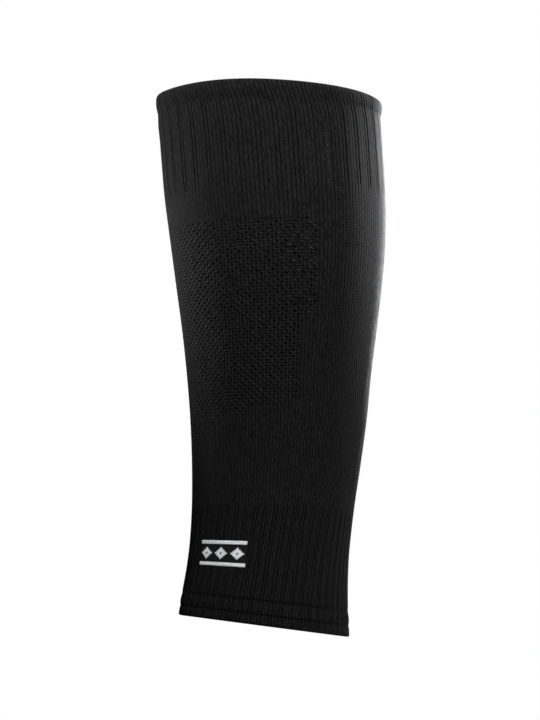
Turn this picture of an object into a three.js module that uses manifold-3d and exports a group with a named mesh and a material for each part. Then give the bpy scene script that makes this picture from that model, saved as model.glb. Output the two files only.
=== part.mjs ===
// A knitted calf compression sleeve in millimetres, +Z up the leg. +X is the back of the
// calf, -X the shin, and -Y the outer side of the leg. The origin is on the leg's axis at
// the fullest part of the calf.
import * as THREE from "three";
import Module from "manifold-3d";
import { mergeVertices } from "three/addons/utils/BufferGeometryUtils.js";

const SLEEVE_LENGTH = 296.5; // along the leg's axis, from the hem to the rim
const CALF_DEPTH = 124; // shin to calf at the fullest, over the cloth
const ORIGIN_SHARE = 0.8; // where the fullest calf lies, as a share of the length
const KNIT_WALL = 1.6; // single knit of the calf tube
const RIB_WALL = 2.0; // ribbed cuff, over the ribs
const PANEL_WALL = 1.2; // thinner eyelet knit
const SEAM_GAP = 0.3; // between neighbouring zones
const FACET_TURN_DEG = 10.5; // the widest facet of the tube and the panel, round the leg
const FACET_HEIGHT = 26; // and the tallest, also of the ribbed zones

const WALES = 156; // columns of stitches round the leg
const WALE_PHASE = 1.46; // wales that the count starts behind the calf's middle

const WELT_HEIGHT = 11; // turned double edge at the top
const WELT_WALL = 2.6;
const WELT_PROUD = 1.1; // how far the turned edge stands out from the cuff
const WELT_COLUMNS = 60;

const CUFF_HEIGHT = 49; // ribbed cuff under the welt
const CUFF_REPEAT = 4; // wales: three in a wide rib and one in a narrow one
const CUFF_GROOVE = 0.7; // depth
const CUFF_GROOVE_SHARE = 0.1; // width, as a share of a repeat
const NARROW_RIB_SHARE = 0.25; // of a repeat
const NARROW_RIB_SUNK = 0.1;

const BAND_OVER_PANEL = 15.5; // plain knit between the cuff and the eyelet panel
const KNIT_UNDER_PANEL = 39.5; // plain knit between the panel and the ankle's ribs
const EYELET_WIDTH = 2.6;
const EYELET_HEIGHT = 3.2;
const EYELET_ROW_PITCH = 12.5;
const EYELET_PITCH_DEG = 20; // round the leg, within a row

const ANKLE_RIB_TOP = 65.5; // over the hem's edge
const ANKLE_REPEAT = 3; // wales: two in a rib and one sunk between ribs
const ANKLE_GROOVE = 0.45; // depth of the sunk wale
const ANKLE_SLOPE_SHARE = 0.08; // of a repeat, from the rib's top down to the sunk wale

const HEM_HEIGHT = 13.4; // turned hem, from its edge to the stitch line
const HEM_WALL = 2.4;
const HEM_PROUD = 0.35;
const HEM_COLUMNS = 56;
const HEM_CREASE = 0.5; // depth of the sewn line across the hem

const BADGE_WIDTH = 31;
const BADGE_HEIGHT = 14.3;
const BADGE_THICK = 0.6;
const BADGE_LEVEL = 37.7; // height of its middle over the hem
const BADGE_TURN_DEG = 234.4; // its middle, round the leg from the calf towards the outer side
const BADGE_CORNER = 0.12; // rounding, as a share of its width
const BADGE_COLUMNS = 8;

// The leg's form. at: share of the length from the hem. middle and half: the section's
// middle and half depth as shares of half the calf's depth. across: half width as a share
// of the half depth. egg: how much the calf side is wider than the shin side. tilt: how
// far the ring leans, in degrees, up towards the calf. twist: how far the wales have
// turned round the leg, in degrees. dip: how far the ring bends down at the shin, as a
// share of half the calf's depth.
const FORM = [
  { at: 0.0, middle: -0.102, half: 0.762, across: 0.86, egg: 0.02, tilt: -7.4, twist: -6, dip: 0 },
  { at: 0.047, middle: -0.092, half: 0.743, across: 0.86, egg: 0.02, tilt: -6.2, twist: -4.6, dip: 0 },
  { at: 0.098, middle: -0.073, half: 0.724, across: 0.86, egg: 0.02, tilt: -4.2, twist: -3.2, dip: 0 },
  { at: 0.149, middle: -0.052, half: 0.717, across: 0.86, egg: 0.03, tilt: -2.4, twist: -1.8, dip: 0 },
  { at: 0.223, middle: -0.02, half: 0.728, across: 0.865, egg: 0.05, tilt: -0.8, twist: 0, dip: 0 },
  { at: 0.3, middle: 0.01, half: 0.756, across: 0.88, egg: 0.07, tilt: 0, twist: 0, dip: 0 },
  { at: 0.385, middle: 0.032, half: 0.792, across: 0.9, egg: 0.08, tilt: 0.2, twist: 0, dip: 0 },
  { at: 0.469, middle: 0.037, half: 0.828, across: 0.915, egg: 0.09, tilt: 0.4, twist: 0, dip: 0 },
  { at: 0.553, middle: 0.042, half: 0.875, across: 0.925, egg: 0.09, tilt: 0.6, twist: 0, dip: 0 },
  { at: 0.637, middle: 0.039, half: 0.925, across: 0.935, egg: 0.08, tilt: 0.9, twist: 0, dip: 0 },
  { at: 0.722, middle: 0.028, half: 0.968, across: 0.94, egg: 0.07, tilt: 1.2, twist: 0, dip: 0 },
  { at: 0.81, middle: 0.0, half: 0.996, across: 0.945, egg: 0.06, tilt: 1.4, twist: 0, dip: 0 },
  { at: 0.863, middle: -0.019, half: 1.001, across: 0.945, egg: 0.05, tilt: 1.0, twist: 0, dip: 0 },
  { at: 0.907, middle: -0.034, half: 1.004, across: 0.95, egg: 0.04, tilt: 0.2, twist: 0, dip: 0 },
  { at: 0.951, middle: -0.049, half: 1.008, across: 0.95, egg: 0.04, tilt: -0.8, twist: -0.8, dip: 0.026 },
  { at: 1.0, middle: -0.054, half: 1.012, across: 0.95, egg: 0.03, tilt: -3.0, twist: -5, dip: 0.068 },
];
const DIP_BACK = 0.38; // the same bend at the calf, as a share of that at the shin

// The eyelet panel's steps, from the lowest up. foot: the step's lower edge as a share of
// the panel's height. reach: how far it goes each way round from the shin, in degrees.
const PANEL_STEPS = [
  { foot: 0, reach: 28 },
  { foot: 0.069, reach: 72 },
  { foot: 0.112, reach: 90 },
  { foot: 0.155, reach: 101 },
  { foot: 0.534, reach: 113 },
];

// The welt's section, from its lower outer corner round to its lower inner one. up: share
// of its height. out: share of how proud it stands. deep: share of its wall.
const WELT_SECTION = [
  { up: 0.0, out: 0.05, deep: 0 },
  { up: 0.12, out: 0.62, deep: 0 },
  { up: 0.4, out: 1.0, deep: 0 },
  { up: 0.72, out: 0.88, deep: 0 },
  { up: 0.93, out: 0.35, deep: 0.12 },
  { up: 1.0, out: 0.0, deep: 0.45 },
  { up: 0.93, out: 0.0, deep: 0.88 },
  { up: 0.72, out: 0.0, deep: 1.0 },
  { up: 0.0, out: 0.0, deep: 1.0 },
];

// The hem's section, from its upper inner corner down and round to its upper outer one,
// in the same shares, with crease: share of the sewn line's depth.
const HEM_SECTION = [
  { up: 1.0, out: 0.0, deep: 1.0, crease: 0 },
  { up: 0.1, out: 0.0, deep: 1.0, crease: 0 },
  { up: 0.0, out: 0.0, deep: 0.62, crease: 0 },
  { up: 0.02, out: 0.5, deep: 0.1, crease: 0 },
  { up: 0.14, out: 1.0, deep: 0, crease: 0 },
  { up: 0.36, out: 0.9, deep: 0, crease: 0 },
  { up: 0.43, out: 0.0, deep: 0, crease: 1 },
  { up: 0.5, out: 0.9, deep: 0, crease: 0 },
  { up: 0.86, out: 0.8, deep: 0, crease: 0 },
  { up: 1.0, out: 0.0, deep: 0, crease: 0.6 },
];

const RIM = SLEEVE_LENGTH;
const WELT_FOOT = RIM - WELT_HEIGHT;
const CUFF_FOOT = WELT_FOOT - CUFF_HEIGHT;
const PANEL_TOP = CUFF_FOOT - BAND_OVER_PANEL;
const PANEL_FOOT = ANKLE_RIB_TOP + KNIT_UNDER_PANEL;
const FULL_TURN = 2 * Math.PI;
const SHIN = Math.PI; // direction of the shin round the leg
const rad = THREE.MathUtils.degToRad;

// A column of FORM at a height over the hem, on a smooth curve through its rows.
function form(column, height) {
  const share = height / SLEEVE_LENGTH;
  let k = 0;
  while (k < FORM.length - 2 && FORM[k + 1].at < share) k += 1;
  const row = (i) => FORM[Math.min(Math.max(i, 0), FORM.length - 1)];
  const [before, from, to, after] = [row(k - 1), row(k), row(k + 1), row(k + 2)];
  const span = to.at - from.at;
  const u = (share - from.at) / span;
  const slope = (a, b) => (b.at > a.at ? ((b[column] - a[column]) / (b.at - a.at)) * span : 0);
  const [m0, m1] = [slope(before, to), slope(from, after)];
  const [u2, u3] = [u * u, u * u * u];
  return (
    (2 * u3 - 3 * u2 + 1) * from[column] +
    (u3 - 2 * u2 + u) * m0 +
    (3 * u2 - 2 * u3) * to[column] +
    (u3 - u2) * m1
  );
}

// A point of the sleeve: height over the hem along the axis, turn round the leg from the
// calf, and how far out from the cloth's outer face.
function place(height, turn, out) {
  const half = (form("half", height) * CALF_DEPTH) / 2;
  const side = half * form("across", height);
  const egg = form("egg", height);
  const [c, s] = [Math.cos(turn), Math.sin(turn)];
  const alongX = -half * s;
  const alongY = side * (c + egg * (c * c - s * s));
  const long = Math.hypot(alongX, alongY);
  const x = half * c + (out * alongY) / long;
  const y = side * s * (1 + egg * c) - (out * alongX) / long;
  const middle = (form("middle", height) * CALF_DEPTH) / 2;
  const lean = Math.tan(rad(form("tilt", height)));
  const dip = (form("dip", height) * CALF_DEPTH) / 2;
  const bend = dip * (c < 0 ? c ** 2 : DIP_BACK * c ** 4);
  return [middle + x, y, height + x * lean - bend - ORIGIN_SHARE * SLEEVE_LENGTH];
}

function geometryOf(points, faces) {
  const geometry = new THREE.BufferGeometry();
  geometry.setAttribute("position", new THREE.Float32BufferAttribute(points.flat(), 3));
  geometry.setIndex(faces.flat());
  return geometry;
}

// A closed band round the leg from a section whose points are { height, out }.
function band(section, columns) {
  const points = [];
  const faces = [];
  const n = section.length;
  for (let i = 0; i < columns; i += 1)
    for (const p of section) points.push(place(p.height, (i / columns) * FULL_TURN, p.out));
  for (let i = 0; i < columns; i += 1)
    for (let j = 0; j < n; j += 1) {
      const next = ((i + 1) % columns) * n;
      const [a, b] = [i * n + j, i * n + ((j + 1) % n)];
      const [c, d] = [next + j, next + ((j + 1) % n)];
      faces.push([a, c, d], [a, d, b]);
    }
  return geometryOf(points, faces);
}

// A ribbed tube. columns: { turn, out } round the outer face. Its smooth inner face has
// one column for every `coarser` of them.
function ribbedTube({ foot, top, wall, columns, coarser }) {
  const spans = Math.ceil((top - foot) / FACET_HEIGHT);
  const points = [];
  const faces = [];
  const n = columns.length;
  const m = n / coarser;
  for (let j = 0; j <= spans; j += 1) {
    const height = foot + ((top - foot) * j) / spans;
    const turned = rad(form("twist", height));
    for (const c of columns) points.push(place(height, c.turn + turned, c.out));
    for (let i = 0; i < m; i += 1)
      points.push(place(height, columns[i * coarser].turn + turned, -wall));
  }
  const outer = (j, i) => j * (n + m) + (i % n);
  const inner = (j, i) => j * (n + m) + n + (i % m);
  const quad = (a, b, c, d) => faces.push([a, b, c], [a, c, d]);
  for (let j = 0; j < spans; j += 1) {
    for (let i = 0; i < n; i += 1)
      quad(outer(j, i), outer(j, i + 1), outer(j + 1, i + 1), outer(j + 1, i));
    for (let i = 0; i < m; i += 1)
      quad(inner(j, i + 1), inner(j, i), inner(j + 1, i), inner(j + 1, i + 1));
  }
  const middle = Math.floor(coarser / 2);
  for (let i = 0; i < m; i += 1) {
    for (const [j, flip] of [
      [0, true],
      [spans, false],
    ]) {
      const add = (a, b, c) => faces.push(flip ? [a, c, b] : [a, b, c]);
      for (let k = 0; k < coarser; k += 1) {
        const at = i * coarser + k;
        add(outer(j, at), outer(j, at + 1), inner(j, k < middle ? i : i + 1));
      }
      add(outer(j, i * coarser + middle), inner(j, i + 1), inner(j, i));
    }
  }
  return geometryOf(points, faces);
}

// A curved shell of the grid's kept cells. heights and turns are the grid's lines, keep
// says which cells are cloth, and closed joins the last turn to the first.
function gridShell({ heights, turns, keep, wall, closed = false }) {
  const points = [];
  const faces = [];
  const seen = new Map();
  const n = turns.length;
  const cells = closed ? n : n - 1;
  const vertex = (j, i, side) => {
    const key = `${j},${i % n},${side}`;
    if (!seen.has(key)) {
      seen.set(key, points.length);
      points.push(place(heights[j], turns[i % n], side ? -wall : 0));
    }
    return seen.get(key);
  };
  const kept = (j, i) => {
    if (j < 0 || j >= heights.length - 1) return false;
    if (!closed && (i < 0 || i >= cells)) return false;
    const k = (i + cells) % cells;
    const next = k + 1 < n ? turns[k + 1] : turns[0] + FULL_TURN;
    return keep((heights[j] + heights[j + 1]) / 2, (turns[k] + next) / 2);
  };
  const quad = (a, b, c, d) => faces.push([a, b, c], [a, c, d]);
  for (let j = 0; j < heights.length - 1; j += 1)
    for (let i = 0; i < cells; i += 1) {
      if (!kept(j, i)) continue;
      const corner = (side) => [
        vertex(j, i, side),
        vertex(j, i + 1, side),
        vertex(j + 1, i + 1, side),
        vertex(j + 1, i, side),
      ];
      const [o, q] = [corner(0), corner(1)];
      quad(...o);
      quad(q[3], q[2], q[1], q[0]);
      if (!kept(j - 1, i)) quad(q[0], q[1], o[1], o[0]);
      if (!kept(j + 1, i)) quad(o[3], o[2], q[2], q[3]);
      if (!kept(j, i - 1)) quad(q[3], q[0], o[0], o[3]);
      if (!kept(j, i + 1)) quad(o[2], o[1], q[1], q[2]);
    }
  return geometryOf(points, faces);
}

// The lines of a grid: every named line, with even ones between them no more than `most`
// apart.
function lines(named, most) {
  const sorted = [...named].sort((a, b) => a - b);
  const out = [sorted[0]];
  for (let k = 1; k < sorted.length; k += 1) {
    const [a, b] = [sorted[k - 1], sorted[k]];
    const parts = Math.max(1, Math.ceil((b - a) / most - 1e-6));
    for (let p = 1; p <= parts; p += 1) out.push(a + ((b - a) * p) / parts);
  }
  return out;
}

const wasm = await Module();
wasm.setup();

function solid(geometry) {
  const bare = mergeVertices(geometry, 1e-4);
  return new wasm.Manifold(
    new wasm.Mesh({
      numProp: 3,
      vertProperties: new Float32Array(bare.getAttribute("position").array),
      triVerts: new Uint32Array(bare.index.array),
    }),
  );
}

function meshGeometry(made) {
  const got = made.getMesh();
  const geometry = new THREE.BufferGeometry();
  geometry.setAttribute("position", new THREE.Float32BufferAttribute(got.vertProperties, 3));
  geometry.setIndex(new THREE.BufferAttribute(new Uint32Array(got.triVerts), 1));
  return geometry;
}

function topWelt() {
  const foot = WELT_FOOT + SEAM_GAP / 2;
  return band(
    WELT_SECTION.map((p) => ({
      height: foot + p.up * (RIM - foot),
      out: p.out * WELT_PROUD - p.deep * WELT_WALL,
    })),
    WELT_COLUMNS,
  );
}

// A profile repeated round the leg. repeat: { at, out } with at as a share of the repeat,
// which is as many wales wide as `wales` says.
function repeated(repeat, wales) {
  const count = Math.round(WALES / wales);
  const start = (-WALE_PHASE / WALES) * FULL_TURN;
  const columns = [];
  for (let k = 0; k < count; k += 1)
    for (const r of repeat)
      columns.push({ turn: start + ((k + r.at) / count) * FULL_TURN, out: r.out });
  return columns;
}

// Each repeat of the cuff: a wide rib, a groove, a narrow rib and a groove.
function upperRib() {
  const slope = CUFF_GROOVE_SHARE / 2;
  const narrow = 1 - NARROW_RIB_SHARE;
  const repeat = [
    { at: slope, out: 0 },
    { at: narrow - slope, out: 0 },
    { at: narrow, out: -CUFF_GROOVE },
    { at: narrow + slope, out: -NARROW_RIB_SUNK },
    { at: 1 - slope, out: -NARROW_RIB_SUNK },
    { at: 1, out: -CUFF_GROOVE },
  ];
  return ribbedTube({
    foot: CUFF_FOOT + SEAM_GAP / 2,
    top: WELT_FOOT - SEAM_GAP / 2,
    wall: RIB_WALL,
    columns: repeated(repeat, CUFF_REPEAT),
    coarser: repeat.length,
  });
}

const stepFoot = (step) => PANEL_FOOT + step.foot * (PANEL_TOP - PANEL_FOOT);

// How far the panel reaches from the shin at a height, in radians, or nothing.
function panelReach(height) {
  if (height > PANEL_TOP) return 0;
  const within = PANEL_STEPS.filter((step) => height >= stepFoot(step));
  return within.length ? rad(within.at(-1).reach) : 0;
}

// The panel's outline is drawn in by half a gap for the panel and out by it for the tube.
function panelHolds(height, turn, inset) {
  const reachAt = (h) => panelReach(h);
  const reach = Math.min(reachAt(height - inset), reachAt(height + inset));
  const wider = Math.max(reachAt(height - inset), reachAt(height + inset));
  const gap = inset / (CALF_DEPTH / 2);
  const away = Math.abs(turn - SHIN);
  return inset > 0 ? away < reach - gap : away < wider - gap;
}

function panelLines(side) {
  const inset = (side * SEAM_GAP) / 2;
  const gap = inset / (CALF_DEPTH / 2);
  const heights = PANEL_STEPS.map((step) => stepFoot(step) + inset);
  const turns = PANEL_STEPS.flatMap((step) => [
    SHIN - rad(step.reach) + gap,
    SHIN + rad(step.reach) - gap,
  ]);
  return { heights: [...heights, PANEL_TOP - inset], turns };
}

function calfTube() {
  const foot = ANKLE_RIB_TOP + SEAM_GAP / 2;
  const top = CUFF_FOOT - SEAM_GAP / 2;
  const edge = panelLines(-1);
  const turns = lines([0, ...edge.turns, FULL_TURN], rad(FACET_TURN_DEG)).slice(0, -1);
  return gridShell({
    heights: lines([foot, ...edge.heights, top], FACET_HEIGHT),
    turns,
    keep: (height, turn) => !panelHolds(height, turn, -SEAM_GAP / 2),
    wall: KNIT_WALL,
    closed: true,
  });
}

function meshPanel() {
  const edge = panelLines(1);
  const cloth = solid(
    gridShell({
      heights: lines(edge.heights, FACET_HEIGHT),
      turns: lines(edge.turns, rad(FACET_TURN_DEG)),
      keep: (height, turn) => panelHolds(height, turn, SEAM_GAP / 2),
      wall: PANEL_WALL,
    }),
  );
  let holes = null;
  const pitch = rad(EYELET_PITCH_DEG);
  const rows = Math.floor((PANEL_TOP - PANEL_FOOT) / EYELET_ROW_PITCH);
  for (let row = 0; row < rows; row += 1) {
    const height = PANEL_TOP - (row + 0.6) * EYELET_ROW_PITCH;
    const clear = EYELET_HEIGHT;
    const reach = Math.min(panelReach(height - clear), panelReach(height)) - pitch * 0.25;
    const shift = row % 2 ? 0.5 : 0;
    const most = Math.floor(reach / pitch);
    for (let k = -most - 1; k <= most; k += 1) {
      const away = (k + shift) * pitch;
      if (Math.abs(away) > reach) continue;
      const hole = eyelet(height, SHIN + away);
      holes = holes ? holes.add(hole) : hole;
    }
  }
  return meshGeometry(cloth.subtract(holes));
}

// A diamond eyelet through the panel's cloth, as the solid that is cut away.
function eyelet(height, turn) {
  const wide = EYELET_WIDTH / CALF_DEPTH;
  const tall = EYELET_HEIGHT / 2;
  const corners = [
    [0, -tall],
    [wide, 0],
    [0, tall],
    [-wide, 0],
  ];
  const clear = PANEL_WALL;
  const points = [-PANEL_WALL - clear, clear].flatMap((out) =>
    corners.map(([w, h]) => place(height + h, turn + w, out)),
  );
  const faces = [
    [0, 2, 1],
    [0, 3, 2],
    [4, 5, 6],
    [4, 6, 7],
  ];
  for (let k = 0; k < 4; k += 1) {
    const next = (k + 1) % 4;
    faces.push([k, next, 4 + next], [k, 4 + next, 4 + k]);
  }
  return solid(geometryOf(points, faces));
}

// Each repeat of the ankle: a rib of two wales and one sunk wale.
function ankleRib() {
  const sunk = 1 - 1 / ANKLE_REPEAT;
  const repeat = [
    { at: ANKLE_SLOPE_SHARE, out: 0 },
    { at: sunk, out: 0 },
    { at: sunk + ANKLE_SLOPE_SHARE, out: -ANKLE_GROOVE },
    { at: 1, out: -ANKLE_GROOVE },
  ];
  return ribbedTube({
    foot: HEM_HEIGHT + SEAM_GAP / 2,
    top: ANKLE_RIB_TOP - SEAM_GAP / 2,
    wall: RIB_WALL,
    columns: repeated(repeat, ANKLE_REPEAT),
    coarser: repeat.length,
  });
}

function bottomHem() {
  const top = HEM_HEIGHT - SEAM_GAP / 2;
  return band(
    HEM_SECTION.map((p) => ({
      height: p.up * top,
      out: p.out * HEM_PROUD - p.deep * HEM_WALL - p.crease * HEM_CREASE,
    })),
    HEM_COLUMNS,
  );
}

// A thin knitted badge with rounded corners that follows the ankle.
function badge() {
  const lift = SEAM_GAP;
  const radius = (form("half", BADGE_LEVEL) * CALF_DEPTH) / 2;
  const corner = BADGE_CORNER * BADGE_WIDTH;
  const points = [];
  const faces = [];
  for (let i = 0; i <= BADGE_COLUMNS; i += 1) {
    const along = Math.sin((Math.PI / 2) * ((2 * i) / BADGE_COLUMNS - 1)) * (BADGE_WIDTH / 2);
    const past = Math.max(0, Math.abs(along) - (BADGE_WIDTH / 2 - corner));
    const tall = BADGE_HEIGHT / 2 - corner + Math.sqrt(corner * corner - past * past * 0.75);
    const turn = rad(BADGE_TURN_DEG) + along / radius;
    for (const [up, out] of [
      [-tall, lift],
      [tall, lift],
      [tall, lift + BADGE_THICK],
      [-tall, lift + BADGE_THICK],
    ])
      points.push(place(BADGE_LEVEL + up, turn, out));
  }
  const quad = (a, b, c, d) => faces.push([a, b, c], [a, c, d]);
  for (let i = 0; i < BADGE_COLUMNS; i += 1)
    for (let k = 0; k < 4; k += 1) {
      const next = (k + 1) % 4;
      quad(4 * i + k, 4 * i + next, 4 * i + 4 + next, 4 * i + 4 + k);
    }
  const last = 4 * BADGE_COLUMNS;
  quad(3, 2, 1, 0);
  quad(last, last + 1, last + 2, last + 3);
  return geometryOf(points, faces);
}

const KNIT = { color: 0x202022, roughness: 0.92, metalness: 0 };
const PIECES = [
  { name: "top_welt", make: topWelt, finish: KNIT },
  { name: "upper_rib", make: upperRib, finish: KNIT },
  { name: "calf_tube", make: calfTube, finish: KNIT },
  { name: "mesh_panel", make: meshPanel, finish: { ...KNIT, color: 0x29292b } },
  { name: "ankle_rib", make: ankleRib, finish: KNIT },
  { name: "bottom_hem", make: bottomHem, finish: KNIT },
  { name: "badge", make: badge, finish: { color: 0xc9cacc, roughness: 0.9, metalness: 0 } },
];

const sleeve = new THREE.Group();
for (const piece of PIECES) {
  const geometry = piece.make();
  geometry.computeVertexNormals();
  const mesh = new THREE.Mesh(geometry, new THREE.MeshStandardMaterial(piece.finish));
  mesh.name = piece.name;
  sleeve.add(mesh);
}

export default sleeve;
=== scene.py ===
"""A knitted calf compression sleeve, dressed on its CAD frame. Metres, +Z up the leg."""

import math

import bpy
import numpy as np
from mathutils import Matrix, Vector


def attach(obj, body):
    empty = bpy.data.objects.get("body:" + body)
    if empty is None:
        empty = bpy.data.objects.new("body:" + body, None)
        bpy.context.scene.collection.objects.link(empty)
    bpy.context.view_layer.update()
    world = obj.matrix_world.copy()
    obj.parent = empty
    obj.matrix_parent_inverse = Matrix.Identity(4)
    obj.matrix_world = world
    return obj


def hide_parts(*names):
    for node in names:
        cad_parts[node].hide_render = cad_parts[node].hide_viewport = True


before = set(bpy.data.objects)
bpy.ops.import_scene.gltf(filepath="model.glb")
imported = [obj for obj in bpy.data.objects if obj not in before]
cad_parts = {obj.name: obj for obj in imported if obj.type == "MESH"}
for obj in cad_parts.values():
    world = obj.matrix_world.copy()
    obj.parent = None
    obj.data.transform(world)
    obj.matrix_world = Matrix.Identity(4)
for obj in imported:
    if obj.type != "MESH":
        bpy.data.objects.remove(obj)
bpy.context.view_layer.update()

MM = 0.001

# The sleeve's sizes in millimetres, as the solids have them.
LENGTH = 296.5
CALF_DEPTH = 124.0
ORIGIN_SHARE = 0.8
WELT_HEIGHT = 11.0
WELT_WALL = 2.6
CUFF_HEIGHT = 49.0
RIB_WALL = 2.0
KNIT_WALL = 1.6
PANEL_WALL = 1.2
BAND_OVER_PANEL = 15.5
KNIT_UNDER_PANEL = 39.5
ANKLE_RIB_TOP = 65.5
HEM_HEIGHT = 13.4
HEM_WALL = 2.4
BADGE_WIDTH = 31.0
BADGE_HEIGHT = 14.3
BADGE_LEVEL = 37.7
BADGE_TURN = math.radians(234.4)

WELT_FOOT = LENGTH - WELT_HEIGHT
CUFF_FOOT = WELT_FOOT - CUFF_HEIGHT
PANEL_TOP = CUFF_FOOT - BAND_OVER_PANEL
PANEL_FOOT = ANKLE_RIB_TOP + KNIT_UNDER_PANEL
PANEL_HEIGHT = PANEL_TOP - PANEL_FOOT

# The knit: wales are its columns of stitches, courses its rows.
WALES = 156
WALE_TURN = 2 * math.pi / WALES
WALE_PHASE = 1.46  # wales that the count starts behind the calf's middle
COURSE = 0.87
EYELET_WALES = 2
SHIN = math.pi

# The leg's form, a row for each section, as in the solids' source: shares of the length
# and of half the calf's depth, with tilt and twist in degrees.
FORM_COLUMNS = ("at", "middle", "half", "across", "egg", "tilt", "twist", "dip")
FORM = [
    (0.0, -0.102, 0.762, 0.86, 0.02, -7.4, -6, 0),
    (0.047, -0.092, 0.743, 0.86, 0.02, -6.2, -4.6, 0),
    (0.098, -0.073, 0.724, 0.86, 0.02, -4.2, -3.2, 0),
    (0.149, -0.052, 0.717, 0.86, 0.03, -2.4, -1.8, 0),
    (0.223, -0.02, 0.728, 0.865, 0.05, -0.8, 0, 0),
    (0.3, 0.01, 0.756, 0.88, 0.07, 0, 0, 0),
    (0.385, 0.032, 0.792, 0.9, 0.08, 0.2, 0, 0),
    (0.469, 0.037, 0.828, 0.915, 0.09, 0.4, 0, 0),
    (0.553, 0.042, 0.875, 0.925, 0.09, 0.6, 0, 0),
    (0.637, 0.039, 0.925, 0.935, 0.08, 0.9, 0, 0),
    (0.722, 0.028, 0.968, 0.94, 0.07, 1.2, 0, 0),
    (0.81, 0.0, 0.996, 0.945, 0.06, 1.4, 0, 0),
    (0.863, -0.019, 1.001, 0.945, 0.05, 1.0, 0, 0),
    (0.907, -0.034, 1.004, 0.95, 0.04, 0.2, 0, 0),
    (0.951, -0.049, 1.008, 0.95, 0.04, -0.8, -0.8, 0.026),
    (1.0, -0.054, 1.012, 0.95, 0.03, -3.0, -5, 0.068),
]
FORM_TABLE = dict(zip(FORM_COLUMNS, np.array(FORM, float).T))
DIP_BACK = 0.38  # the same dip at the calf, as a share of that at the shin

# The worn cloth's soft waves: how many go round the leg, their height in millimetres,
# their phase, and the radians by which they turn for each millimetre up.
SLACK_WAVES = [(3, 0.16, 0.4, 0.021), (5, 0.1, 2.1, -0.034), (8, 0.06, 4.0, 0.05)]


def form(column, height):
    """A column of the form's table at heights over the hem, on a smooth curve."""
    at, y = FORM_TABLE["at"], FORM_TABLE[column]
    share = np.asarray(height, float) / LENGTH
    k = np.clip(np.searchsorted(at, share, side="left") - 1, 0, len(at) - 2)
    before, after = np.maximum(k - 1, 0), np.minimum(k + 2, len(at) - 1)
    span = at[k + 1] - at[k]
    u = (share - at[k]) / span
    m0 = (y[k + 1] - y[before]) / (at[k + 1] - at[before]) * span
    m1 = (y[after] - y[k]) / (at[after] - at[k]) * span
    return (
        (2 * u**3 - 3 * u**2 + 1) * y[k]
        + (u**3 - 2 * u**2 + u) * m0
        + (3 * u**2 - 2 * u**3) * y[k + 1]
        + (u**3 - u**2) * m1
    )


def radius_at(height):
    """Half the leg's depth in millimetres at heights over the hem."""
    return form("half", height) * CALF_DEPTH / 2


def place(height, turn, out):
    """Points in metres: height over the hem in millimetres, turn round the leg from the
    calf in radians, and how far out from the cloth's outer face in millimetres."""
    half = radius_at(height)
    side = half * form("across", height)
    egg = form("egg", height)
    c, s = np.cos(turn), np.sin(turn)
    along_x = -half * s
    along_y = side * (c + egg * (c * c - s * s))
    long = np.hypot(along_x, along_y)
    x = half * c + out * along_y / long
    y = side * s * (1 + egg * c) - out * along_x / long
    lean = np.tan(np.radians(form("tilt", height)))
    dip = form("dip", height) * CALF_DEPTH / 2
    bend = dip * np.where(c < 0, c**2, DIP_BACK * c**4)
    z = height + x * lean - bend - ORIGIN_SHARE * LENGTH
    x = x + form("middle", height) * CALF_DEPTH / 2
    return np.stack(np.broadcast_arrays(x, y, z), -1) * MM


def turn_of(wale, height):
    """The direction round the leg of a wale, which twists a little at both ends."""
    return (wale - WALE_PHASE) * WALE_TURN + np.radians(form("twist", height))


def on_cloth(wale, height, out):
    """Where a point out from the worn cloth lies, as place() takes it. The cloth wanders
    a little off its smooth form."""
    turn = turn_of(wale, height)
    slack = sum(
        tall * np.sin(count * turn + phase + height * run)
        for count, tall, phase, run in SLACK_WAVES
    )
    return height, turn, out + slack


def smooth(x, low, high):
    """0 up to low, 1 from high on, and a soft rise between them."""
    t = np.clip((x - low) / (high - low), 0, 1)
    return t * t * (3 - 2 * t)


PLAIN_GROOVE = 0.22  # depth between two wales
LEGS_GROOVE = 0.45  # between the two legs of a wale's stitches, as a share of that
GROOVE_SHARP = 0.7  # under 1, the knit is round and its grooves narrow

# The cuff's and the ankle's ribs. repeat: wales in each repeat. lines: its two grooves,
# with a narrow rib between them. depth and width: of a groove, over the plain knit.
# sunk: how much lower the narrow rib lies. Widths are in wales, depths in millimetres.
CUFF_RIBS = {"repeat": 4, "lines": (3, 4), "depth": 0.55, "width": 0.12, "sunk": 0.1}
ANKLE_RIBS = {"repeat": 3, "lines": (2, 3), "depth": 0.55, "width": 0.24, "sunk": 0.12}
RIB_EDGE = 0.12  # wales from a groove's middle to its side
RIB_FADE = (1.0, 6.0)  # millimetres from a zone's edge, no ribs to full ones
WELT_RIBS = 0.35  # how strongly the cuff's ribs run on through the welt
HEM_RIBS = 0.6  # and the ankle's through the hem


def plain_relief(wale):
    """The plain knit: a groove between two wales, a lesser one between stitches' legs."""
    between = PLAIN_GROOVE * (np.abs(np.sin(math.pi * wale)) ** GROOVE_SHARP - 1)
    legs = LEGS_GROOVE * PLAIN_GROOVE * (np.abs(np.cos(math.pi * wale)) ** GROOVE_SHARP - 1)
    return np.minimum(between, legs)


def rib_relief(wale, repeat, lines, depth, width, sunk):
    """A wide rib and a narrow sunk one in each repeat, a groove along each of the lines."""
    at = np.mod(wale, repeat)
    offs = [np.abs(at - line % repeat) for line in lines]
    away = np.min([np.minimum(off, repeat - off) for off in offs], axis=0)
    groove = -depth * np.exp(-((away / width) ** 2))
    rise, fall = (smooth(at, line - RIB_EDGE, line + RIB_EDGE) for line in lines)
    return groove - sunk * (rise * (1 - fall))


def ribbed(wale, ribs, share=1.0):
    """Ribbed knit. share is how far the ribs have risen from the plain knit."""
    return share * rib_relief(wale, **ribs) + plain_relief(wale)


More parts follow.
